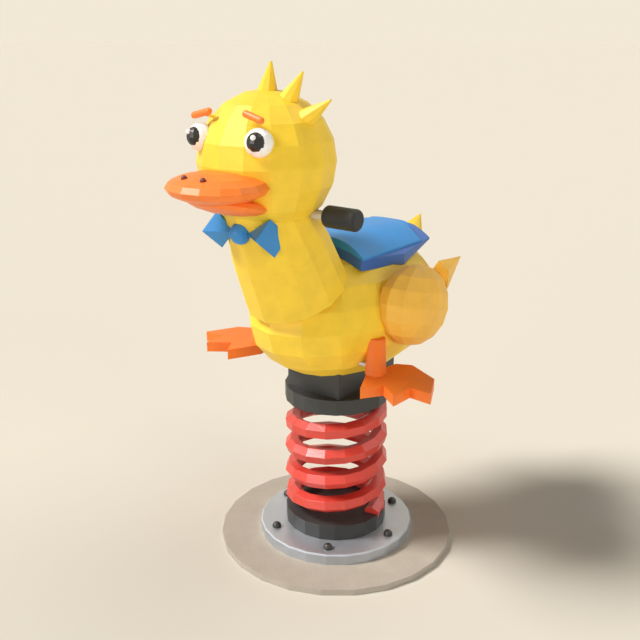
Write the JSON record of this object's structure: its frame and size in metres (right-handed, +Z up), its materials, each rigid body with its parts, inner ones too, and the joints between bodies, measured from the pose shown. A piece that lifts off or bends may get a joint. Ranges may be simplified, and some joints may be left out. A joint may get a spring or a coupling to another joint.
{
  "type": "spring rider",
  "caption": "Faceted duck spring rider: a seat, handlebar and footrests on a duck body that rocks on a thick coil spring above a round bolted ground plate.",
  "frame": {"origin": "on the spring's axis at the underside of the ground pad", "axes": "+X to the duck's front, +Y to its left, +Z up along the spring's axis"},
  "size_m": [0.5786, 0.4468, 0.7919],
  "materials": {
    "pad_tan": "matte",
    "plate_grey": "satin",
    "bolt_dark": "satin",
    "cast_dark": "satin",
    "block_dark": "satin",
    "steel": "brushed",
    "spring_red": "gloss",
    "yellow": "satin",
    "amber": "satin",
    "orange": "satin",
    "maroon": "satin",
    "white": "gloss",
    "black": "gloss",
    "bow_blue": "satin",
    "pad_blue": "satin",
    "seat_blue": "satin",
    "grip_rubber": "matte"
  },
  "bodies": {
    "base": {"ground_pad": "pad_tan", "base_plate": "plate_grey", "anchor_bolts": "bolt_dark", "lower_cup": "cast_dark", "cup_screws": "steel"},
    "spring": {"spring": "spring_red"},
    "rider": {"upper_collar": "cast_dark", "collar_screws": "steel", "mounting_block": "block_dark", "body_bolts": "steel", "body_shell": "yellow", "neck": "yellow", "neck_rod": "steel", "head": "yellow", "tuft_middle": "yellow", "tuft_inner": "yellow", "tuft_outer": "yellow", "beak_upper": "orange", "beak_lower": "orange", "nostril_left": "maroon", "nostril_right": "maroon", "eye_left": "white", "eye_right": "white", "pupil_left": "black", "pupil_right": "black", "glint_left": "white", "glint_right": "white", "eyebrow_left": "orange", "eyebrow_right": "orange", "bow_knot": "bow_blue", "bow_wing_left": "bow_blue", "bow_wing_right": "bow_blue", "saddle_pad": "pad_blue", "saddle_seat": "seat_blue", "saddle_screws": "steel", "handlebar": "steel", "grip_left": "grip_rubber", "grip_right": "grip_rubber", "wing_left": "amber", "wing_right": "amber", "wing_dowels": "steel", "wing_tip_left": "amber", "wing_tip_right": "amber", "tail_feather": "yellow", "leg_left": "orange", "leg_right": "orange", "foot_left": "orange", "foot_right": "orange", "foot_screws": "steel", "foot_rod": "steel"}
  },
  "joints": [
    {"name": "rock", "type": "hinge", "parent": "base", "child": "spring", "pos_m": [0, 0, 0.1075], "axis": [0, 1, 0], "range_deg": [-18, 18], "stiffness_Nm_per_rad": 1500, "deforming": ["spring"]},
    {"name": "sway", "type": "hinge", "parent": "spring", "child": "rider", "pos_m": [0, 0, 0.2045], "axis": [1, 0, 0], "range_deg": [-12, 12], "stiffness_Nm_per_rad": 1500, "deforming": ["spring"]}
  ]
}
